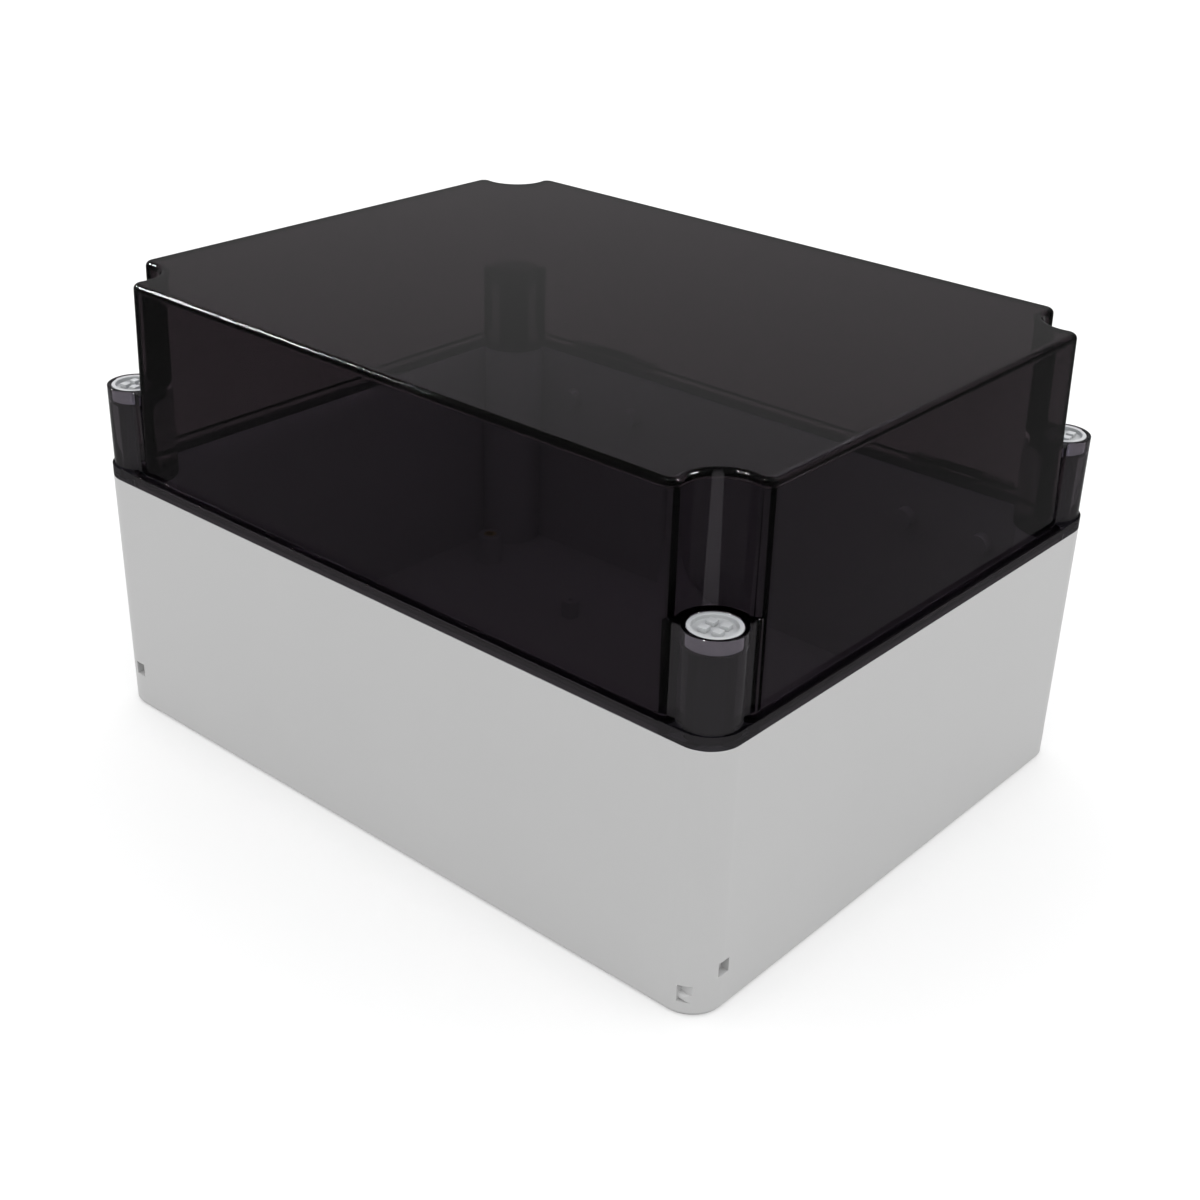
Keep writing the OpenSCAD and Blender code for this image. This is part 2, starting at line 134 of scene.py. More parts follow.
class ShellSizes(bpy.types.PropertyGroup):
    """Sizes that the base and the lid share."""

    length: size("Length", "Outside length along X", 302)
    width: size("Width", "Outside width along Y", 232)
    base_height: size("Base height", "Height of the seam above the ground", 100)
    lid_height: size("Lid height", "Height of the lid's top above the seam", 80)
    corner_radius: size("Corner radius", "Outside radius of the base and rim corners", 12.5)
    post_inset: size("Post inset", "Distance of each post's axis from both outside faces", 11.5)
    seam_radius: size("Seam radius", "Rounding of both edges that meet at the seam", 0.35)


class BaseSizes(bpy.types.PropertyGroup):
    """Sizes of the base."""

    wall: size("Wall", "Thickness of the walls", 3.5)
    floor: size("Floor", "Thickness of the floor", 4)
    draft: size("Draft", "How much further in the walls lie at the bottom", 0.4)
    edge_radius: size("Edge radius", "Rounding of the bottom edge", 1)
    foot_height: size("Foot height", "Height of the foot pads", 0.6)
    foot_length: size("Foot length", "Length of a corner pad along each side", 23)
    pad_inset: size("Pad inset", "Distance of the small pads from the corners", 38)
    pad_length: size("Pad length", "Length of a small pad", 6)
    panel_inset: size("Panel inset", "Distance of the flat floor panel from the outside", 14)
    boss_inset_x: size("Boss inset X", "Distance of the plate bosses from the side faces", 26)
    boss_inset_y: size("Boss inset Y", "Distance of the plate bosses from the front and rear faces", 41)
    boss_radius: size("Boss radius", "Radius of the plate bosses", 5.5)
    boss_height: size("Boss height", "Height of the plate bosses above the floor", 14)
    insert_radius: size("Insert radius", "Radius of the brass inserts", 3)
    insert_length: size("Insert length", "Length of the brass inserts", 8)
    pilot_spacing: size("Pilot spacing", "Distance between the small pilot bosses", 120)
    pilot_boss_radius: size("Pilot boss radius", "Radius of the small pilot bosses", 3.8)
    pilot_boss_height: size("Pilot boss height", "Height of the small pilot bosses above the floor", 8)
    pilot_radius: size("Pilot radius", "Radius of the pilot holes", 1.3)
    plate: size("Plate", "Thickness of the plate that the cross pins lock under", 4.2)
    plate_gap: size("Plate gap", "Clearance round the shank in the plate", 0.3)
    slot_gap: size("Slot gap", "Clearance round the cross pin in its slot", 0.4)
    swing_room: size("Swing room", "How far the plate's opening runs inwards", 2.3)
    socket_radius: size("Socket radius", "Radius of the room under the plate", 9)
    socket_depth: size("Socket depth", "Depth of the room under the plate", 16)
    well_radius: size("Well radius", "Radius of the well below the socket", 6.5)
    fixing_radius: size("Fixing radius", "Radius of the wall-fixing hole", 2.6)
    window_depth: size("Window depth", "Depth of the lug windows", 3.2)
    window_width: size("Window width", "Width of the large window", 8.5)
    window_height: size("Window height", "Height of the large window", 6.5)
    window_low: size("Window low", "Height of the large window's lower edge", 5.5)
    window_inset: size("Window inset", "Distance of the large window from the corner line", 1)
    slot_width: size("Slot width", "Width of the small window", 5)
    slot_height: size("Slot height", "Height of the small window", 5.5)
    slot_low: size("Slot low", "Height of the small window's lower edge", 14)
    slot_inset: size("Slot inset", "Distance of the small window from the corner", 10.5)
    latch_radius: size("Latch radius", "Radius of the latch bar in the large window", 1.5)
    column_radius: size("Column radius", "Radius of the corner columns", 13.5)
    colour: colour("Base colour", "Light grey of the polycarbonate", "#AEAEAE")


class LidSizes(bpy.types.PropertyGroup):
    """Sizes of the lid."""

    wall: size("Wall", "Thickness of the walls", 3)
    top: size("Top", "Thickness of the top", 3)
    rim_height: size("Rim height", "Height of the rim flange", 5)
    rim_radius: size("Rim radius", "Rounding of the rim's upper edge", 0.2)
    ledge: size("Ledge", "Width of the ledge between the rim's face and the wall", 3)
    root_radius: size("Root radius", "Fillet between the ledge and the wall", 0.2)
    draft: size("Draft", "How much further in the walls lie at the top", 1.4)
    edge_radius: size("Edge radius", "Rounding of the top edge", 2)
    shoulder_radius: size("Shoulder radius", "Rounding beside each corner scallop", 4)
    scallop_gap: size("Scallop gap", "Gap between a post and its scallop", 1.6)
    scallop_flare: size("Scallop flare", "How much the scallops open towards the top", 1.1)
    post_radius: size("Post radius", "Radius of a corner post", 10.3)
    post_height: size("Post height", "Height of a post above the seam", 36.5)
    web_reach: size("Web reach", "Distance from the post's axis to the tip of its web", 13.5)
    web_aim: size("Web aim", "Where the web's side would cross the axis' plane", 5.9)
    crisp_radius: size("Crisp radius", "Rounding of the posts' and webs' upper edges", 0.35)
    smoke: colour("Smoke", "Light that passes through a wall", "#5C5559")
    thin: colour("Thin smoke", "Light that passes through the thin wall round a closure's head", "#A6A0A6")
    thick: colour("Thick smoke", "Light that passes through the rest of a post", "#2A272A")
    glow: colour("Glow", "Light that lamps send through one face of a wall", "#DADAE2")
    gloss: share("Gloss", "Share of light that every face reflects, which draws the lamps' highlights", 0.0015)
    veil: colour("Veil", "Grey of the milky places", "#A6A2A6")
    haze: share("Haze", "Share of light that the rim and the posts scatter", 0.048)

class SealSizes(bpy.types.PropertyGroup):
    """Sizes of the tongue, groove and gasket."""

    inset: size("Inset", "Distance of the seal's middle line from the outside", 2.5)
    radius: size("Radius", "Radius of the seal's middle line around a post", 11)
    shoulder_radius: size("Shoulder radius", "Rounding of the seal's middle line beside a post", 3)
    tongue_width: size("Tongue width", "Width of the tongue on the base", 1.8)
    tongue_height: size("Tongue height", "Height of the tongue above the seam", 1.2)
    groove_depth: size("Groove depth", "Depth of the groove in the lid", 3)
    groove_gap: size("Groove gap", "Clearance between tongue and groove, each side", 0.4)
    colour: colour("Seal colour", "Black of the seals", "#1C1C1D")
    brass: colour("Brass", "Yellow of the brass inserts", "#E3C27A")


class ClosureSizes(bpy.types.PropertyGroup):
    """Sizes of the quarter-turn closures."""

    head_radius: size("Head radius", "Radius of the head", 8.55)
    head_height: size("Head height", "Height of the head", 5.5)
    shank_radius: size("Shank radius", "Radius of the shank", 4.6)
    running_gap: size("Running gap", "Clearance between the closure and the lid", 0.1)
    lead_in: size("Lead-in", "Bevel at the top of the head's recess", 0.3)
    ring_radius: size("Ring room radius", "Radius of the O-ring's room", 6.35)
    ring_room: size("Ring room height", "Height of the O-ring's room", 1.8)
    tip_drop: size("Tip drop", "Height of the tip below the seam", 8.5)
    tip_bevel: size("Tip bevel", "Bevel at the tip", 1)
    pin_radius: size("Cross pin radius", "Radius of the cross pin", 1.5)
    pin_length: size("Cross pin length", "Length of the cross pin", 13)
    pin_drop: size("Cross pin drop", "Distance of the cross pin's axis below the seam", 5.9)
    recess: size("Recess", "Depth of the driver recess", 1.6)
    head_rim: size("Head rim", "Width of the head's raised rim", 1.5)
    edge_radius: size("Edge radius", "Rounding of the head's edges", 0.35)
    block: size("Block", "Size of a square block in the driver recess", 3)
    block_gap: size("Block gap", "Gap between two blocks", 1.8)
    block_edge: size("Block edge", "Rounding of a block's edges", 0.3)
    block_turn: turn("Block turn", "Angle of the blocks to the sides of the box", 8)
    colour: colour("Closure colour", "Grey of the moulded polyamide", "#A8AAAB")


class HingeSizes(bpy.types.PropertyGroup):
    """Sizes of the hinges."""

    inset: size("Inset", "Distance of a hinge's middle from the side face", 61)
    out: size("Out", "Distance of the axis from the rear face", 5.5)
    knuckle_radius: size("Knuckle radius", "Radius of the knuckles", 4.2)
    lid_knuckle: size("Lid knuckle", "Length of the lid's knuckle", 19.4)
    pin_radius: size("Pin radius", "Radius of the pin", 2)
    pin_gap: size("Pin gap", "Running clearance of the pin", 0.05)
    bracket_thickness: size("Bracket thickness", "Thickness of a bracket's plate", 2.6)
    screw_drop: size("Screw drop", "Distance of the bracket screws below the seam", 21)
    screw_pitch: size("Screw pitch", "Distance between a bracket's two screws", 35.2)
    screw_radius: size("Screw radius", "Radius of the bracket screws", 1.6)
    screw_length: size("Screw length", "Length of the bracket screws", 10)
    screw_head_radius: size("Screw head radius", "Radius of the bracket screws' heads", 3.4)
    screw_head_height: size("Screw head height", "Height of the bracket screws' heads", 2)
    screw_edge: size("Screw edge", "Rounding of the screw heads", 0.8)
    screw_boss_radius: size("Screw boss radius", "Radius of the bosses for the bracket screws", 4.2)
    recess_span: size("Recess span", "Span of the cross recess", 3.4)
    recess_width: size("Recess width", "Width of the cross recess's arms", 0.8)
    recess_depth: size("Recess depth", "Depth of the cross recess", 1)
    steel: colour("Steel", "Grey of the stainless steel", "#C9CBCC")


class StageSettings(bpy.types.PropertyGroup):
    """Camera and light."""

    azimuth: turn("Azimuth", "Camera's turn from the front towards the right", 40.29)
    elevation: turn("Elevation", "Camera's height above the horizon", 27.37)
    roll: turn("Roll", "Camera's turn about its own axis", 1.84)
    distance: size("Distance", "Distance of the camera from its target", 723.25)
    lens: FloatProperty(name="Lens", description="Focal length on a 36 mm sensor", default=53.31, unit="CAMERA")
    horizon: FloatProperty(name="Horizon", description="Brightness of the light from near the ground", default=1, min=0)
    zenith: FloatProperty(name="Zenith", description="Brightness of the light from straight above", default=1.85, min=0)

class Millimetres:
    """A property group whose lengths read in millimetres, in which shapes are worked out."""

    def __init__(self, group):
        self.group = group

    def __getattr__(self, name):
        return getattr(getattr(bpy.context.scene, self.group), name) / MM


shell = Millimetres("enclosure_shell")
base = Millimetres("enclosure_base")
lid = Millimetres("enclosure_lid")
seal = Millimetres("enclosure_seal")
closure = Millimetres("enclosure_closure")
hinge = Millimetres("enclosure_hinge")


# ---- outlines, as lists of points in the XY plane, counter-clockwise, in millimetres


def arc(centre, radius, start, end, steps=FILLET_STEPS):
    """Points on an arc, from one angle to another, in degrees."""
    angles = [radians(start + (end - start) * i / steps) for i in range(steps + 1)]
    return [(centre[0] + radius * cos(a), centre[1] + radius * sin(a)) for a in angles]


def placed(points, side):
    """A corner's points, measured inwards from both outside faces, at its place."""
    half_x, half_y = shell.length / 2, shell.width / 2
    return [(side[0] * (half_x - x), side[1] * (half_y - y)) for x, y in points]


def all_corners(points):
    """The outline round the whole box from one corner's points."""
    outline = []
    for name in ("front_right", "rear_right", "rear_left", "front_left"):
        side = CORNERS[name]
        outline += placed(points, side)[:: -side[0] * side[1]]
    return outline


def round_outline(inset, radius):
    return all_corners(arc((inset + radius, inset + radius), radius, 270, 180, ARC_STEPS))


def scallop_outline(inset, radius, shoulder):
    """Outline with a scallop round each post's axis, and a shoulder on each side of it."""
    axis = shell.post_inset
    across = inset + shoulder - axis
    along = sqrt((radius + shoulder) ** 2 - across**2)
    bend = degrees(atan2(across, along))
    return all_corners(
        arc((axis + along, inset + shoulder), shoulder, -90, bend - 180, SHOULDER_STEPS)
        + arc((axis, axis), radius, bend, 90 - bend, ARC_STEPS)
        + arc((inset + shoulder, axis + along), shoulder, 270 - bend, 180, SHOULDER_STEPS)
    )


def shrink(points, by):
    """A polygon whose sides each lie that much further in."""
    count, result = len(points), []
    for i in range(count):
        before, here, after = (Vector(points[k]) for k in ((i - 1) % count, i, (i + 1) % count))
        a, b = (here - before).normalized(), (after - here).normalized()
        normal_a, normal_b = Vector((-a.y, a.x)), Vector((-b.y, b.x))
        reach = by / (1 + normal_a.dot(normal_b))
        result.append(tuple(here + (normal_a + normal_b) * reach))
    return result


def rounded_low(z, edge):
    """Heights and insets that lead up out of a rounded lower edge at z."""
    return [(z + edge * (1 - cos(a)), edge * (1 - sin(a))) for a in FILLET_ANGLES]


def rounded_high(z, edge):
    """Heights and insets that lead up into a rounded upper edge at z."""
    return [(z - edge * (1 - sin(a)), edge * (1 - cos(a))) for a in FILLET_ANGLES]


# ---- places, in millimetres


def post_axis(side):
    """Place of a corner post's axis."""
    return placed([(shell.post_inset,) * 2], side)[0]


def boss_places():
    """Where the plate bosses stand."""
    return [placed([(base.boss_inset_x, base.boss_inset_y)], side)[0] for side in CORNERS.values()]


def pilot_places():
    """Where the small pilot bosses stand."""
    return [(x * base.pilot_spacing / 2, y * base.pilot_spacing / 2) for x, y in CORNERS.values()]


def hinge_middle(side):
    """Middle of a hinge's axis."""
    return side * (shell.length / 2 - hinge.inset), shell.width / 2 + hinge.out, shell.base_height


def screw_middle(side):
    """Midway between the heads of a bracket's two screws."""
    return hinge_middle(side)[0], shell.width / 2 + hinge.bracket_thickness, shell.base_height - hinge.screw_drop


def screw_places():
    """Where the bracket screws' heads sit."""
    places = []
    for side in HINGE_SIDES.values():
        x, y, z = screw_middle(side)
        places += [(x + d, y, z) for d in (-hinge.screw_pitch / 2, hinge.screw_pitch / 2)]
    return places


# ---- solids


def linked(name, data):
    """A new object in the scene."""
    obj = bpy.data.objects.new(name, data)
    bpy.context.scene.collection.objects.link(obj)
    return obj


def new_object(name, bm):
    """A mesh object from shapes in millimetres, at its place in metres."""
    bmesh.ops.recalc_face_normals(bm, faces=bm.faces)
    bmesh.ops.scale(bm, vec=(MM, MM, MM), verts=bm.verts)
    mesh = bpy.data.meshes.new(name)
    bm.to_mesh(mesh)
    bm.free()
    return linked(name, mesh)


def level(outline, z):
    return [(x, y, z) for x, y in outline]


def loft(rings):
    """Closed solid through rings of points (x, y, z) that have the same count."""
    bm = bmesh.new()
    rows = [[bm.verts.new(p) for p in ring] for ring in rings]
    count = len(rows[0])
    for low, high in zip(rows, rows[1:]):
        for i in range(count):
            j = (i + 1) % count
            bm.faces.new((low[i], low[j], high[j], high[i]))
    bm.faces.new(rows[0][::-1])
    bm.faces.new(rows[-1])
    return new_object("loft", bm)


def prism(outline, low, high):
    """Closed upright solid of an outline, between two heights."""
    return loft([level(outline, low), level(outline, high)])


def revolve(profile, place, axis="Z"):
    """Closed solid of a profile of (radius, height) points turned about an axis; a place may leave out its height."""
    bm = bmesh.new()
    angles = [2 * pi * i / ROUND_STEPS for i in range(ROUND_STEPS)]
    rows = []
    for radius, height in profile:
        points = [(radius * cos(a), radius * sin(a), height) for a in angles] if radius > 0 else [(0, 0, height)]
        rows.append([bm.verts.new(p) for p in points])
    for low, high in zip(rows, rows[1:]):
        for i in range(ROUND_STEPS):
            j = (i + 1) % ROUND_STEPS
            corners = [low[i % len(low)], low[j % len(low)], high[j % len(high)], high[i % len(high)]]
            kept = [c for k, c in enumerate(corners) if c not in corners[:k]]
            if len(kept) > 2:
                bm.faces.new(kept)
    for row in (rows[0][::-1], rows[-1]):
        if len(row) > 1:
            bm.faces.new(row)
    if axis == "X":
        bmesh.ops.rotate(bm, matrix=Matrix.Rotation(pi / 2, 3, "Y"), verts=bm.verts)
    elif axis == "Y":
        bmesh.ops.rotate(bm, matrix=Matrix.Rotation(-pi / 2, 3, "X"), verts=bm.verts)
    bmesh.ops.translate(bm, vec=(*place, 0)[:3], verts=bm.verts)
    return new_object("revolve", bm)


def rod(place, radius, low, high, axis="Z", edge=0):
    """Closed round rod along an axis, between two distances from place, whose far end may be rounded."""
    end = arc((radius - edge, high - edge), edge, 0, 90) if edge else [(radius, high)]
    return revolve([(0, low), (radius, low), *end, (0, high)], place, axis)


def box(low, high):
    """Closed box between two corners."""
    bm = bmesh.new()
    bmesh.ops.create_cube(bm, size=1)
    for v in bm.verts:
        v.co = [(a + b) / 2 + (b - a) * c for a, b, c in zip(low, high, v.co)]
    return new_object("box", bm)


def applied(obj):
    """The object with its modifiers worked into its mesh."""
    view = bpy.context.evaluated_depsgraph_get()
    mesh = bpy.data.meshes.new_from_object(obj.evaluated_get(view), depsgraph=view)
    obj.modifiers.clear()
    obj.data = mesh
    return obj


def combine(obj, tools, operation):
    """The object with each tool joined to it or cut from it; the tools are used up."""
    for tool in tools:
        step = obj.modifiers.new(tool.name, "BOOLEAN")
        step.object, step.operation, step.solver = tool, operation, "MANIFOLD"
    applied(obj)
    for tool in tools:
        bpy.data.objects.remove(tool)
    return obj


def joined(obj, tools):
    return combine(obj, tools, "UNION")


def cut(obj, tools):
    return combine(obj, tools, "DIFFERENCE")


def seal_band(width, low, high):
    """The band that tongue, groove and gasket share, between two heights."""
    outer, inner = (
        scallop_outline(seal.inset + e, seal.radius + e, seal.shoulder_radius - e) for e in (-width / 2, width / 2)
    )
    return cut(prism(outer, low, high), [prism(inner, low - OVER, high + OVER)])


def repeated(piece, name, grid_of, pitch, spin, place, material):
    """Copies of a piece in a grid round a place, made by Geometry Nodes, as one plain mesh."""
    tree = bpy.data.node_groups.new(name, "GeometryNodeTree")
    inputs = {}
    for label, kind, value in (
        ("Piece", "Object", piece),
        ("Columns", "Int", grid_of[0]),
        ("Rows", "Int", grid_of[1]),
        ("Pitch", "Float", pitch),
        ("Turn", "Vector", (0, 0, spin)),
        ("Place", "Vector", place),
        ("Finish", "Material", material),
    ):
        socket = tree.interface.new_socket(label, in_out="INPUT", socket_type=f"NodeSocket{kind}")
        inputs[socket.identifier] = value
    tree.interface.new_socket("Geometry", in_out="OUTPUT", socket_type="NodeSocketGeometry")
    given = add(tree, "NodeGroupInput").outputs
    spans = []
    for label in ("Columns", "Rows"):
        gaps = add(tree, "ShaderNodeMath", {0: given[label], 1: 1.0}, operation="SUBTRACT")
        spans.append(add(tree, "ShaderNodeMath", {0: gaps, 1: given["Pitch"]}, operation="MULTIPLY"))
    spread = {"Size X": spans[0], "Size Y": spans[1], "Vertices X": given["Columns"], "Vertices Y": given["Rows"]}
    grid = add(tree, "GeometryNodeMeshGrid", spread)
    source = add(tree, "GeometryNodeObjectInfo", {"Object": given["Piece"]}).outputs["Geometry"]
    copies = add(tree, "GeometryNodeInstanceOnPoints", {"Points": grid, "Instance": source})
    settings = {"Geometry": copies, "Rotation": given["Turn"], "Translation": given["Place"]}
    real = add(tree, "GeometryNodeRealizeInstances", {"Geometry": add(tree, "GeometryNodeTransform", settings)})
    finished = add(tree, "GeometryNodeSetMaterial", {"Geometry": real, "Material": given["Finish"]})
    add(tree, "NodeGroupOutput", {"Geometry": finished})
    obj = linked(name, bpy.data.meshes.new(name))
    step = obj.modifiers.new(name, "NODES")
    step.node_group = tree
    for identifier, value in inputs.items():
        step[identifier] = value
    return applied(obj)


def finish(obj, name, material, body, node):
    """Smooth shading up to an angle, the finish, the body it rides on and the node it stands for."""
    obj.name = obj.data.name = name
    obj.data.polygons.foreach_set("use_smooth", [True] * len(obj.data.polygons))
    obj.data.set_sharp_from_angle(angle=radians(SHARP_ANGLE))
    obj.modifiers.new("weigh", "WEIGHTED_NORMAL").keep_sharp = True
    applied(obj)
    obj.data.materials.clear()
    obj.data.materials.append(material)
    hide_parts(node)
    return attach(obj, body)


# ---- finishes


def add(tree, kind, inputs=(), **settings):
    """A node with its settings, and inputs that are set to values or linked to sockets or nodes' first outputs."""
    node = tree.nodes.new(kind)
    for key, value in settings.items():
        setattr(node, key, value)
    for socket, value in dict(inputs).items():
        if isinstance(value, bpy.types.Node):
            value = value.outputs[0]
        if isinstance(value, bpy.types.NodeSocket):
            tree.links.new(value, node.inputs[socket])
        else:
            node.inputs[socket].default_value = value
    return node


def new_material(name):
    """A material without nodes, with its node tree."""
    material = bpy.data.materials.new(name)
    material.use_nodes = True
    material.node_tree.nodes.clear()
    return material, material.node_tree


def per_metre(mm):
    """Noise scale for a grain of that size in millimetres, on Object coordinates in metres."""
    return 1 / (mm * MM)


def grained(name, tone, roughness, uneven, grain_mm, detail, depth_mm, strength, mottled=0, **shader):
    """An opaque material whose grain makes both its sheen and its surface a little uneven."""
    material, tree = new_material(name)
    place = add(tree, "ShaderNodeTexCoord").outputs["Object"]
    if mottled:
        patch = add(tree, "ShaderNodeTexNoise", {"Vector": place, "Scale": per_metre(PATCH_MM), "Detail": 2.0})
        shade = add(tree, "ShaderNodeMapRange", {"Value": patch, "To Min": 1 - mottled, "To Max": 1 + mottled})
        mixed = {"Factor": 1.0, 6: tone, 7: shade}
        tone = add(tree, "ShaderNodeMix", mixed, data_type="RGBA", blend_type="MULTIPLY").outputs[2]
    grain = add(tree, "ShaderNodeTexNoise", {"Vector": place, "Scale": per_metre(grain_mm), "Detail": detail})
    span = {"To Min": roughness - uneven, "To Max": roughness + uneven}
    rough = add(tree, "ShaderNodeMapRange", {"Value": grain, **span})
    bump = add(tree, "ShaderNodeBump", {"Height": grain, "Strength": strength, "Distance": depth_mm * MM})
    surface = add(tree, "ShaderNodeBsdfPrincipled", {"Base Color": tone, "Roughness": rough, "Normal": bump})
    for socket, value in shader.items():
        surface.inputs[socket].default_value = value
    add(tree, "ShaderNodeOutputMaterial", {"Surface": surface})
    return material


def moulded_plastic(name, tone, grain_mm, depth_mm, roughness):
    """Injection-moulded plastic: even colour, and the mould's spark-eroded grain, which spreads the light softly.
    The real grain is about 0.05 mm across; it is drawn coarser, so that it shows."""
    grain = {"grain_mm": grain_mm, "detail": 3.0, "depth_mm": depth_mm, "strength": 0.5}
    return grained(name, tone, roughness, uneven=0.06, **grain, mottled=0.015, IOR=PLASTIC_IOR)


def rubber(name, tone, roughness):
    """Moulded or foamed seal rubber: black, with a soft sheen and a slightly uneven skin of 0.6 mm cells."""
    grain = {"grain_mm": 0.6, "detail": 2.0, "depth_mm": 0.05, "strength": 0.4}
    return grained(name, tone, roughness, uneven=0.1, **grain, IOR=PLASTIC_IOR)


def turned_metal(name, tone, mark_mm, roughness):
    """Metal off the lathe: fine tool marks that break up the highlights.
    The real marks are about 0.05 mm apart; they are drawn coarser, so that they show."""
    grain = {"grain_mm": mark_mm, "detail": 2.0, "depth_mm": 0.02, "strength": 0.2}
    return grained(name, tone, roughness, uneven=0.08, **grain, Metallic=1.0)


def smoked_polycarbonate(name, given):
    """Smoked clear polycarbonate from a polished mould: dark and glossy, and see-through where light stands behind it.
    Rim, posts and corner scallops keep the mould's finer polish marks, and so look milky.
    A tint for each zone stands in for the depth of plastic that the light passes."""
    material, tree = new_material(name)
    place = add(tree, "ShaderNodeTexCoord").outputs["Object"]
    # a moulding is never quite flat, which bends the lamps' reflections a little
    ripple = add(tree, "ShaderNodeTexNoise", {"Vector": place, "Scale": per_metre(PATCH_MM), "Detail": 1.0})
    wave = add(tree, "ShaderNodeBump", {"Height": ripple, "Strength": 0.3, "Distance": 0.05 * MM})
    # masks by height: the rim's face, the rim with the root of the walls, a post, and the wall round a head
    spot = add(tree, "ShaderNodeSeparateXYZ", {0: place}).outputs
    ledge, post_top = shell.base_height + lid.rim_height, shell.base_height + lid.post_height
    rim, band, beside = (
        add(tree, "ShaderNodeMath", {0: spot["Z"], 1: z * MM}, operation="LESS_THAN")
        for z in (ledge + VEIL_END, ledge + BAND_END, post_top + POST_END)
    )
    shelf = (post_top - closure.head_height) * MM
    above = add(tree, "ShaderNodeMath", {0: spot["Z"], 1: shelf}, operation="GREATER_THAN")
    # a mask of the four corners
    reach = lid.post_radius + shell.post_inset
    ends = []
    for axis, length in (("X", shell.length), ("Y", shell.width)):
        out = add(tree, "ShaderNodeMath", {0: spot[axis]}, operation="ABSOLUTE")
        ends.append(add(tree, "ShaderNodeMath", {0: out, 1: (length / 2 - reach) * MM}, operation="GREATER_THAN"))
    corner = add(tree, "ShaderNodeMath", {0: ends[0], 1: ends[1]}, operation="MULTIPLY")
    post = add(tree, "ShaderNodeMath", {0: corner, 1: beside}, operation="MULTIPLY")
    thin = add(tree, "ShaderNodeMath", {0: post, 1: above}, operation="MULTIPLY")
    # rim and corners are milky, but for their level faces, which are polished
    milky = add(tree, "ShaderNodeMath", {0: corner, 1: rim}, operation="MAXIMUM")
    facing = add(tree, "ShaderNodeSeparateXYZ", {0: add(tree, "ShaderNodeNewGeometry").outputs["Normal"]})
    flat = add(tree, "ShaderNodeMath", {0: facing.outputs["Z"]}, operation="ABSOLUTE")
    fade = {"Value": flat, "From Min": LEVEL_FADE[0], "From Max": LEVEL_FADE[1], "To Min": given.haze, "To Max": 0.0}
    amount = add(tree, "ShaderNodeMath", {0: milky, 1: add(tree, "ShaderNodeMapRange", fade)}, operation="MULTIPLY")
    # a wall's tint, of which each of its two faces gives half
    tint = add(tree, "ShaderNodeMix", {"Factor": post, 6: given.smoke, 7: given.thick}, data_type="RGBA").outputs[2]
    tint = add(tree, "ShaderNodeMix", {"Factor": thin, 6: tint, 7: given.thin}, data_type="RGBA").outputs[2]
    half = add(tree, "ShaderNodeGamma", {0: tint, 1: 0.5})
    bent = add(tree, "ShaderNodeBsdfRefraction", {"Color": half, "Roughness": 0.0, "IOR": PLASTIC_IOR})
    veil = add(tree, "ShaderNodeBsdfDiffuse", {"Color": given.veil})
    body = add(tree, "ShaderNodeMixShader", {0: amount, 1: bent, 2: veil})
    # the mirror's share grows at a slant as in a lower index, which keeps the top as dark as smoked plastic looks;
    # the rim band isn't polished, up to the root of the walls, and so mirrors less
    mirror = add(tree, "ShaderNodeFresnel", {"Normal": wave, "IOR": GLOSS_IOR})
    mirror = add(tree, "ShaderNodeMath", {0: mirror, 1: given.gloss}, operation="ADD")
    dulled = add(tree, "ShaderNodeMapRange", {"Value": band, "To Min": 1.0, "To Max": RIM_GLOSS})
    mirror = add(tree, "ShaderNodeMath", {0: mirror, 1: dulled}, operation="MULTIPLY")
    gloss = add(tree, "ShaderNodeBsdfGlossy", {"Normal": wave, "Color": (1, 1, 1, 1), "Roughness": GLOSS_ROUGHNESS})
    solid = add(tree, "ShaderNodeMixShader", {0: mirror, 1: body, 2: gloss})
    # lamps and sky light the inside as through a clear pane
    through = add(tree, "ShaderNodeBsdfTransparent", {"Color": given.glow})
    shadow = add(tree, "ShaderNodeLightPath").outputs["Is Shadow Ray"]
    surface = add(tree, "ShaderNodeMixShader", {0: shadow, 1: solid, 2: through})
    add(tree, "ShaderNodeOutputMaterial", {"Surface": surface})
    return material


def paint(node, material):
    """The finish on a CAD piece that keeps its own shape."""
    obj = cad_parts[node]
    obj.data.materials.clear()
    obj.data.materials.append(material)


# ---- operators, one for each piece or group of like pieces


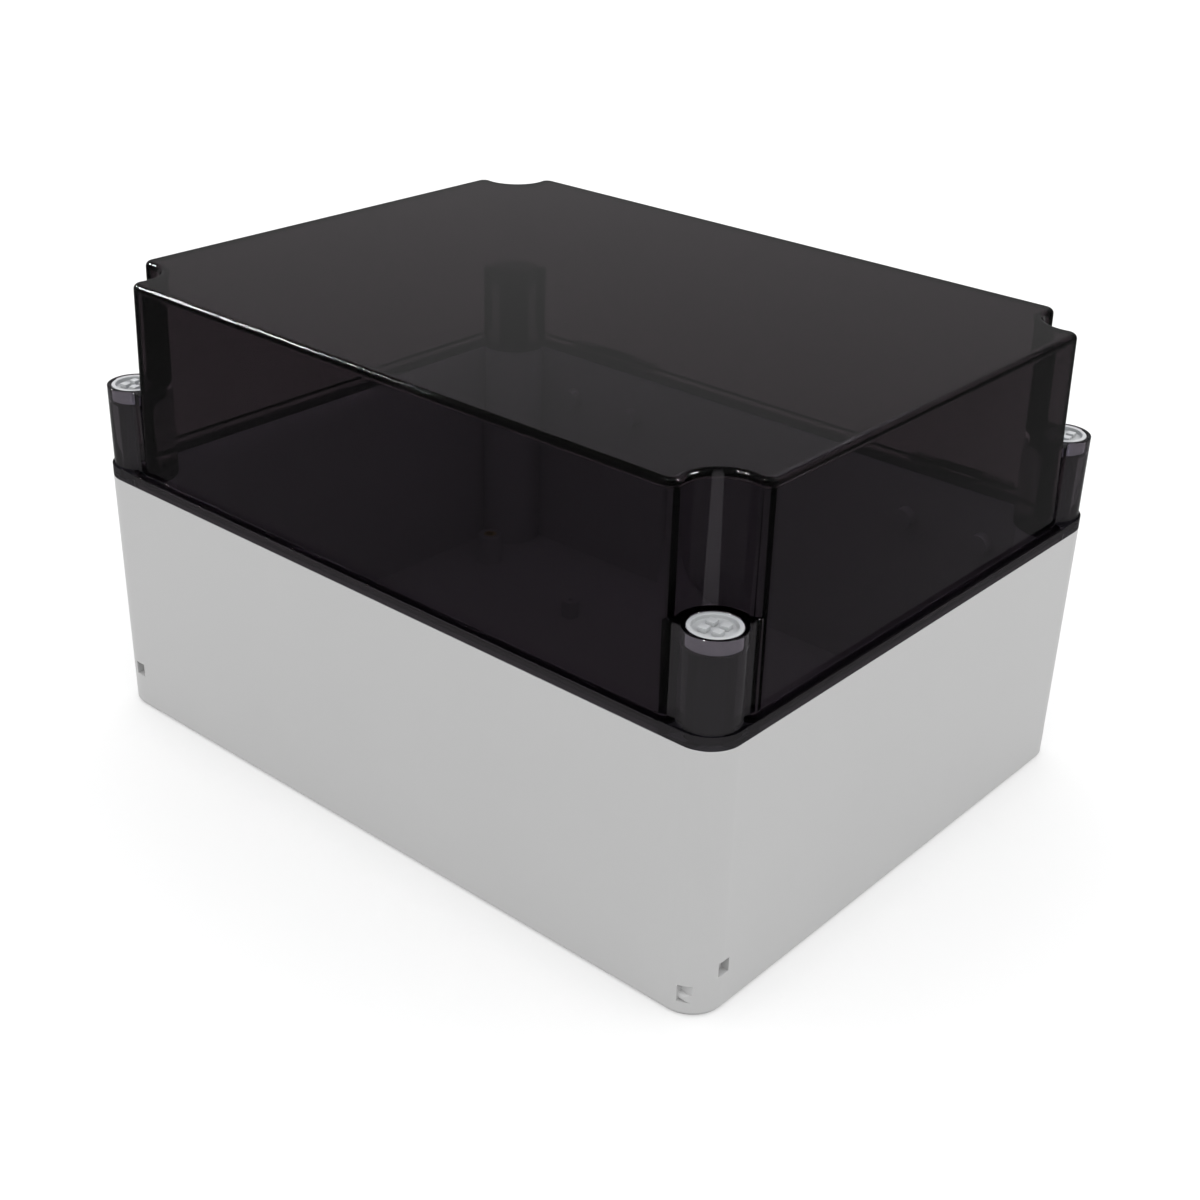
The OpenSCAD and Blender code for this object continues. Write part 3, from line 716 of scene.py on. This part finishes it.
class ENCLOSURE_OT_base(bpy.types.Operator):
    """Build the grey base with its columns, bosses, feet and lug windows"""

    bl_idname = "enclosure.base"
    bl_label = "Moulded Base"

    def outside(self):
        corner = shell.corner_radius
        rounds = rounded_low(base.foot_height, base.edge_radius) + rounded_high(shell.base_height, shell.seam_radius)
        rings = []
        for z, e in rounds:
            inset = base.draft * (1 - z / shell.base_height) + e
            rings.append(level(round_outline(inset, corner - e), z))
        return loft(rings)

    def feet(self):
        """The floor panel, and the pads that the box stands on."""
        high = base.foot_height + OVER
        foot, panel = base.foot_length, base.panel_inset
        near, far = base.pad_inset, base.pad_inset + base.pad_length
        spans = (
            ((-OVER, -OVER), (foot, foot)),
            ((near, -OVER), (far, panel + OVER)),
            ((-OVER, near), (panel + OVER, far)),
        )
        plates = []
        for side in CORNERS.values():
            for span in spans:
                (x0, y0), (x1, y1) = placed(span, side)
                plates.append(box((min(x0, x1), min(y0, y1), 0), (max(x0, x1), max(y0, y1), high)))
        pads = joined(plates[0], plates[1:])
        outline = round_outline(base.draft + base.edge_radius, shell.corner_radius - base.edge_radius)
        pads = combine(pads, [prism(outline, -OVER, high + OVER)], "INTERSECT")
        return joined(pads, [prism(round_outline(panel, shell.corner_radius), 0, high)])

    def cavity(self):
        """The room inside, around the corner columns and the bosses."""
        floor, high, wall = base.floor, shell.base_height, base.wall
        radius = shell.corner_radius - wall
        low_ring = level(round_outline(wall + base.draft, radius), floor)
        hollow = loft([low_ring, level(round_outline(wall, radius), high + OVER)])
        kept = [rod(post_axis(side), base.column_radius, -OVER, high + 2 * OVER) for side in CORNERS.values()]
        for places, boss_radius, height in (
            (boss_places(), base.boss_radius, base.boss_height),
            (pilot_places(), base.pilot_boss_radius, base.pilot_boss_height),
        ):
            kept += [rod(place, boss_radius, floor - OVER, floor + height, edge=BOSS_EDGE) for place in places]
        length = hinge.screw_length
        for x, y, z in screw_places():
            kept.append(rod((x, y - length - OVER, z), hinge.screw_boss_radius, 0, length, "Y"))
        return cut(hollow, kept)

    def closure_room(self, side):
        """Plate opening, pin slot, socket, well and wall-fixing hole of one corner."""
        x, y = post_axis(side)
        swing = -side[1] * base.swing_room
        near, far = min(y, y + swing), max(y, y + swing)
        opening = closure.shank_radius + base.plate_gap
        slot_x = closure.pin_radius + base.slot_gap
        slot_y = closure.pin_length / 2 + base.slot_gap
        plate_low = shell.base_height - base.plate
        low, top = plate_low - SEAM_EPS, shell.base_height + 3 * OVER
        socket = plate_low - base.socket_depth
        return [
            rod((x, y), opening, low, top),
            rod((x, y + swing), opening, low, top),
            box((x - opening, near, low), (x + opening, far, top)),
            box((x - slot_x, near - slot_y, low), (x + slot_x, far + slot_y, top)),
            rod((x, y), base.socket_radius, socket, plate_low),
            rod((x, y), base.well_radius, base.floor, socket + SEAM_EPS),
            rod((x, y), base.fixing_radius, -OVER, base.floor + OVER),
        ]

    def windows(self):
        """Receivers for external lugs: a large and a small window beside each corner, going round in turn."""
        half_x, half_y, depth = shell.length / 2, shell.width / 2, base.window_depth
        low, high = base.window_low, base.window_low + base.window_height
        near, far = base.window_inset, base.window_inset + base.window_width
        slot_low, slot_high = base.slot_low, base.slot_low + base.slot_height
        slot_near, slot_far = base.slot_inset, base.slot_inset + base.slot_width
        latch = base.latch_radius
        tools = []
        for spin in (1, -1):
            front, front_deep = spin * (-half_y - OVER), spin * (-half_y + depth)
            end, end_deep = spin * (half_x + OVER), spin * (half_x - depth)
            room = box((spin * (half_x - near), front, low), (spin * (half_x - far), front_deep, high))
            tools.append(cut(room, [rod((spin * half_x, front_deep, low + latch), latch, -far, far, "X")]))
            room = box((end, spin * (half_y - near), low), (end_deep, spin * (half_y - far), high))
            tools.append(cut(room, [rod((end_deep, spin * half_y, low + latch), latch, -far, far, "Y")]))
            slot_a, slot_b = spin * (-half_x + slot_near), spin * (-half_x + slot_far)
            tools.append(box((slot_a, front, slot_low), (slot_b, front_deep, slot_high)))
            slot_a, slot_b = spin * (-half_y + slot_near), spin * (-half_y + slot_far)
            tools.append(box((end, slot_a, slot_low), (end_deep, slot_b, slot_high)))
        return tools

    def execute(self, context):
        high = shell.base_height
        tongue = seal_band(seal.tongue_width, high - OVER, high + seal.tongue_height)
        body = joined(self.outside(), [self.feet(), tongue])
        body = cut(body, [self.cavity()])
        tools = self.windows()
        for side in CORNERS.values():
            tools += self.closure_room(side)
        top = base.floor + base.boss_height
        tools += [rod(place, base.insert_radius, top - base.insert_length, top + OVER) for place in boss_places()]
        top = base.floor + base.pilot_boss_height
        tools += [rod(place, base.pilot_radius, base.floor, top + OVER) for place in pilot_places()]
        length = hinge.screw_length
        tools += [rod((x, y - length, z), hinge.screw_radius, 0, length + OVER, "Y") for x, y, z in screw_places()]
        grey = context.scene.enclosure_base.colour
        material = moulded_plastic("grey_polycarbonate_spark_eroded", grey, grain_mm=0.5, depth_mm=0.05, roughness=0.5)
        finish(cut(body, tools), "moulded_base", material, "base", "base_shell")
        return {"FINISHED"}


class ENCLOSURE_OT_lid(bpy.types.Operator):
    """Build the smoked lid with its rim, scalloped corners, posts and webs"""

    bl_idname = "enclosure.lid"
    bl_label = "Smoked Lid"

    def rim(self):
        low, corner = shell.base_height, shell.corner_radius
        rounds = rounded_low(low, shell.seam_radius) + rounded_high(low + lid.rim_height, lid.rim_radius)
        return loft([level(round_outline(e, corner - e), z) for z, e in rounds])

    def walls(self, heights):
        """Solid through the scalloped outline at each height, brought in by the extra that goes with it."""
        rings = []
        for z, extra in heights:
            up = (z - shell.base_height) / shell.lid_height
            inset = lid.ledge + lid.draft * up + extra
            radius = lid.post_radius + lid.scallop_gap + lid.scallop_flare * up + extra
            rings.append(level(scallop_outline(inset, radius, lid.shoulder_radius - extra), z))
        return loft(rings)

    def outside(self):
        low = shell.base_height
        heights = [(low + OVER, -lid.root_radius)]
        heights += [(z, -e) for z, e in rounded_low(low + lid.rim_height, lid.root_radius)]
        return self.walls(heights + rounded_high(low + shell.lid_height, lid.edge_radius))

    def hollow(self):
        ceiling = rounded_high(shell.base_height + shell.lid_height - lid.top, lid.edge_radius / 2)
        return self.walls([(shell.base_height - OVER, lid.wall)] + [(z, lid.wall + e) for z, e in ceiling])

    def post(self, side):
        low = shell.base_height
        return rod(post_axis(side), lid.post_radius, low + OVER, low + lid.post_height, edge=lid.crisp_radius)

    def web(self, side):
        """The web that fills the gap between a post and the two walls beside it."""
        low, height, aim, reach = shell.base_height, lid.post_height, lid.web_aim, lid.web_reach
        face = lid.ledge + lid.draft * height / shell.lid_height - shell.post_inset
        inside = lid.post_radius + lid.scallop_gap + lid.wall
        outline = [(0, -aim), (reach, face), (inside, inside), (face, reach), (-aim, 0)]
        x, y = post_axis(side)
        rings = []
        for z, e in [(low + OVER, 0)] + rounded_high(low + height, lid.crisp_radius):
            points = [(x - side[0] * u, y - side[1] * v, z) for u, v in shrink(outline, e)]
            rings.append(points[:: side[0] * side[1]])
        return loft(rings)

    def bore(self, side):
        """Room for a closure in its post: shank bore, O-ring room and head recess, with a lead-in."""
        low = shell.base_height
        top = low + lid.post_height
        shelf = top - closure.head_height
        gap, lead = closure.running_gap, closure.lead_in
        shank, head = closure.shank_radius + gap, closure.head_radius + gap
        ring, ring_low = closure.ring_radius, shelf - closure.ring_room
        profile = [(0, low - OVER), (shank, low - OVER), (shank, ring_low), (ring, ring_low), (ring, shelf)]
        profile += [(head, shelf), (head, top - lead), (head + lead + OVER, top + OVER), (0, top + OVER)]
        return revolve(profile, post_axis(side))

    def knuckle(self, side):
        x, y, z = hinge_middle(side)
        half, radius, edge = hinge.lid_knuckle / 2, hinge.knuckle_radius, KNUCKLE_EDGE
        profile = [(0, -half), (radius - edge, -half), (radius, -half + edge)]
        profile += [(radius, half - edge), (radius - edge, half), (0, half)]
        arm = box((x - half, shell.width / 2 - OVER, z), (x + half, y, z + radius))
        return [revolve(profile, (x, y, z), "X"), arm]

    def execute(self, context):
        low, corners, sides = shell.base_height, CORNERS.values(), HINGE_SIDES.values()
        parts = [self.outside()] + [self.post(c) for c in corners] + [self.web(c) for c in corners]
        for side in sides:
            parts += self.knuckle(side)
        body = joined(self.rim(), parts)
        groove = seal_band(seal.tongue_width + 2 * seal.groove_gap, low - OVER, low + seal.groove_depth)
        tools = [self.hollow(), groove] + [self.bore(c) for c in corners]
        half, radius = hinge.lid_knuckle / 2 + OVER, hinge.pin_radius + hinge.pin_gap
        tools += [rod(hinge_middle(side), radius, -half, half, "X") for side in sides]
        material = smoked_polycarbonate("smoked_polycarbonate_polished", context.scene.enclosure_lid)
        finish(cut(body, tools), "smoked_lid", material, "lid", "lid_shell")
        return {"FINISHED"}


class ENCLOSURE_OT_closures(bpy.types.Operator):
    """Build the four quarter-turn closures with their driver blocks"""

    bl_idname = "enclosure.closures"
    bl_label = "Quarter-Turn Closures"

    def block(self):
        """A square driver block with rounded edges, at the origin."""
        half = closure.block / 2
        obj = box((-half, -half, -SEAM_EPS), (half, half, closure.recess))
        edge = obj.modifiers.new("edge", "BEVEL")
        edge.width, edge.segments = bpy.context.scene.enclosure_closure.block_edge, 2
        return applied(obj)

    def body(self, side):
        """A closure without its driver blocks, and the middle of its recess's floor."""
        low, top = shell.base_height - closure.tip_drop, shell.base_height + lid.post_height
        floor = top - closure.recess
        shank, head, bevel, edge = closure.shank_radius, closure.head_radius, closure.tip_bevel, closure.edge_radius
        # the head sits a hair above its shelf, so that the two faces never share a plane
        seat = top - closure.head_height + 2 * SEAM_EPS
        inner = head - closure.head_rim
        profile = [(0, low), (shank - bevel, low), (shank, low + bevel), (shank, seat)]
        profile += [(head - edge, seat), (head, seat + edge)]
        profile += arc((head - edge, top - edge), edge, 0, 90)
        profile += arc((inner + edge, top - edge), edge, 90, 180)
        profile += arc((inner - edge, floor + edge), edge, 0, -90) + [(0, floor)]
        x, y = post_axis(side)
        hole_place = (x, y, shell.base_height - closure.pin_drop)
        hole = rod(hole_place, closure.pin_radius, -closure.pin_length, closure.pin_length, "Y")
        return cut(revolve(profile, (x, y)), [hole]), Vector((x, y, floor))

    def execute(self, context):
        given = context.scene.enclosure_closure
        grain = {"grain_mm": 0.4, "depth_mm": 0.03}
        material = moulded_plastic("grey_polyamide_moulded", given.colour, **grain, roughness=0.45)
        block = self.block()
        pitch = given.block + given.block_gap
        for name, side in CORNERS.items():
            body, place = self.body(side)
            blocks = repeated(block, "driver_blocks", (2, 2), pitch, given.block_turn, place * MM, material)
            node = f"closure_{name}"
            finish(joined(body, [blocks]), f"quarter_turn_{node}", material, node, node)
        bpy.data.objects.remove(block)
        return {"FINISHED"}


class ENCLOSURE_OT_hinges(bpy.types.Operator):
    """Dress the hinge brackets and pins, and build the bracket screws"""

    bl_idname = "enclosure.hinges"
    bl_label = "Hinges"

    def screw(self):
        """A pan-head screw with a cross recess, pointing along -Y from the origin under its head."""
        shank, length = hinge.screw_radius, hinge.screw_length
        head, height, edge = hinge.screw_head_radius, hinge.screw_head_height, hinge.screw_edge
        profile = [(0, -length), (shank, -length), (shank, 0), (head, 0)]
        profile += arc((head - edge, height - edge), edge, 0, 90) + [(0, height)]
        span, arm, depth = hinge.recess_span / 2, hinge.recess_width / 2, hinge.recess_depth
        bars = [box((-u, height - depth, -v), (u, height + OVER, v)) for u, v in ((span, arm), (arm, span))]
        return cut(revolve(profile, (0, 0), "Y"), bars)

    def execute(self, context):
        grey, pale = context.scene.enclosure_base.colour, context.scene.enclosure_hinge.steel
        plastic = moulded_plastic("grey_polycarbonate_bracket", grey, grain_mm=0.5, depth_mm=0.05, roughness=0.5)
        steel = turned_metal("stainless_steel_turned", pale, mark_mm=0.3, roughness=0.3)
        screw = self.screw()
        for name, side in HINGE_SIDES.items():
            paint(f"hinge_bracket_{name}", plastic)
            paint(f"hinge_pin_{name}", steel)
            middle, pitch = Vector(screw_middle(side)) * MM, hinge.screw_pitch * MM
            pair = repeated(screw, f"bracket_screws_{name}", (2, 1), pitch, 0, middle, steel)
            finish(pair, f"pan_head_screws_{name}", steel, "base", f"bracket_screws_{name}")
        bpy.data.objects.remove(screw)
        return {"FINISHED"}


class ENCLOSURE_OT_fittings(bpy.types.Operator):
    """Give the seals, inserts and cross pins their finishes"""

    bl_idname = "enclosure.fittings"
    bl_label = "Seals and Fittings"

    def execute(self, context):
        given = context.scene.enclosure_seal
        foam = rubber("polyurethane_foam_seal", given.colour, roughness=0.85)
        nitrile = rubber("nitrile_rubber_o_ring", given.colour, roughness=0.5)
        pale = context.scene.enclosure_hinge.steel
        steel = turned_metal("stainless_steel_pin", pale, mark_mm=0.3, roughness=0.25)
        brass = turned_metal("brass_turned", given.brass, mark_mm=0.4, roughness=0.3)
        paint("gasket", foam)
        for name in CORNERS:
            paint(f"o_ring_{name}", nitrile)
            paint(f"cross_pin_{name}", steel)
            paint(f"insert_{name}", brass)
        return {"FINISHED"}


class ENCLOSURE_OT_stage(bpy.types.Operator):
    """Set up the floor, the light and the camera"""

    bl_idname = "enclosure.stage"
    bl_label = "Stage"

    def execute(self, context):
        context.scene.view_settings.view_transform = "Standard"
        self.sky(context.scene)
        self.floor()
        for name, place in SOFTBOXES.items():
            self.softbox(name, Vector(place))
        self.camera(context.scene)
        return {"FINISHED"}

    def sky(self, scene):
        """A white sky that is brighter overhead than near the ground."""
        given = scene.enclosure_stage
        world = bpy.data.worlds.new("even_studio_light")
        scene.world = world
        world.use_nodes = True
        tree = world.node_tree
        way = add(tree, "ShaderNodeTexCoord").outputs["Generated"]
        height = add(tree, "ShaderNodeSeparateXYZ", {0: way}).outputs["Z"]
        span = {"From Min": SKY_RISE[0], "From Max": SKY_RISE[1], "To Min": given.horizon, "To Max": given.zenith}
        rise = add(tree, "ShaderNodeMapRange", {"Value": height, **span}, interpolation_type="SMOOTHSTEP")
        background = tree.nodes["Background"]
        background.inputs["Color"].default_value = (1, 1, 1, 1)
        tree.links.new(rise.outputs[0], background.inputs["Strength"])

    def floor(self):
        """A floor that takes the shadow and comes out white, seen straight, in a mirror or through glass."""
        bm = bmesh.new()
        bmesh.ops.create_grid(bm, x_segments=1, y_segments=1, size=FLOOR_REACH_MM)
        floor = new_object("floor", bm)
        material, tree = new_material("white_studio_floor")
        rays = add(tree, "ShaderNodeLightPath").outputs
        seen = rays["Is Camera Ray"]
        for other in ("Is Glossy Ray", "Is Transmission Ray"):
            seen = add(tree, "ShaderNodeMath", {0: seen, 1: rays[other]}, operation="MAXIMUM")
        lit = add(tree, "ShaderNodeBsdfDiffuse", {"Color": (*[FLOOR_GREY] * 3, 1)})
        glow = add(tree, "ShaderNodeEmission", {"Strength": seen, "Color": (*[FLOOR_GLOW] * 3, 1)})
        add(tree, "ShaderNodeOutputMaterial", {"Surface": add(tree, "ShaderNodeAddShader", {0: lit, 1: glow})})
        floor.data.materials.append(material)

    def softbox(self, name, place):
        """A lamp for the lid's gloss alone: it draws the highlights and leaves the light level as it is."""
        lamp = bpy.data.lights.new(name, "AREA")
        lamp.shape, lamp.size = "SQUARE", SOFTBOX_SIDE
        lamp.energy = SOFTBOX_RADIANCE * pi * SOFTBOX_SIDE**2
        obj = linked(name, lamp)
        aim = Vector(SOFTBOX_AIM) - place
        obj.matrix_world = Matrix.Translation(place) @ aim.to_track_quat("-Z", "Y").to_matrix().to_4x4()
        obj.visible_diffuse = obj.visible_camera = obj.visible_transmission = False
        lit = bpy.data.collections.new(name)
        lit.objects.link(bpy.data.objects["smoked_lid"])
        obj.light_linking.receiver_collection = lit

    def camera(self, scene):
        given = scene.enclosure_stage
        az, el, roll = given.azimuth, given.elevation, given.roll
        back = Vector((sin(az) * cos(el), -cos(az) * cos(el), sin(el)))
        right = (-back).cross(Vector((0, 0, 1))).normalized()
        up = right.cross(-back)
        axes = Matrix((right * cos(roll) + up * sin(roll), up * cos(roll) - right * sin(roll), back)).transposed()
        camera = bpy.data.cameras.new("camera")
        camera.lens, camera.sensor_width = given.lens, SENSOR_MM
        obj = linked("camera", camera)
        place = Vector(CAMERA_TARGET) * MM + back * given.distance
        obj.matrix_world = Matrix.Translation(place) @ axes.to_4x4()
        scene.camera = obj


PROPERTY_GROUPS = (
    ("enclosure_shell", ShellSizes),
    ("enclosure_base", BaseSizes),
    ("enclosure_lid", LidSizes),
    ("enclosure_seal", SealSizes),
    ("enclosure_closure", ClosureSizes),
    ("enclosure_hinge", HingeSizes),
    ("enclosure_stage", StageSettings),
)
OPERATORS = (
    ENCLOSURE_OT_base,
    ENCLOSURE_OT_lid,
    ENCLOSURE_OT_closures,
    ENCLOSURE_OT_hinges,
    ENCLOSURE_OT_fittings,
    ENCLOSURE_OT_stage,
)


class ENCLOSURE_PT_panel(bpy.types.Panel):
    """Lists the pieces in the sidebar"""

    bl_idname = "ENCLOSURE_PT_panel"
    bl_label = "Hinged Enclosure"
    bl_space_type = "VIEW_3D"
    bl_region_type = "UI"
    bl_category = "Enclosure"

    def draw(self, context):
        for operator in OPERATORS:
            self.layout.operator(operator.bl_idname)


def register():
    for name, group in PROPERTY_GROUPS:
        bpy.utils.register_class(group)
        setattr(bpy.types.Scene, name, PointerProperty(type=group))
    for operator in OPERATORS:
        bpy.utils.register_class(operator)
    bpy.utils.register_class(ENCLOSURE_PT_panel)


def unregister():
    bpy.utils.unregister_class(ENCLOSURE_PT_panel)
    for operator in reversed(OPERATORS):
        bpy.utils.unregister_class(operator)
    for name, group in reversed(PROPERTY_GROUPS):
        delattr(bpy.types.Scene, name)
        bpy.utils.unregister_class(group)


def main():
    register()
    for operator in OPERATORS:
        group, name = operator.bl_idname.split(".")
        getattr(getattr(bpy.ops, group), name)()


if __name__ == "__main__":
    main()
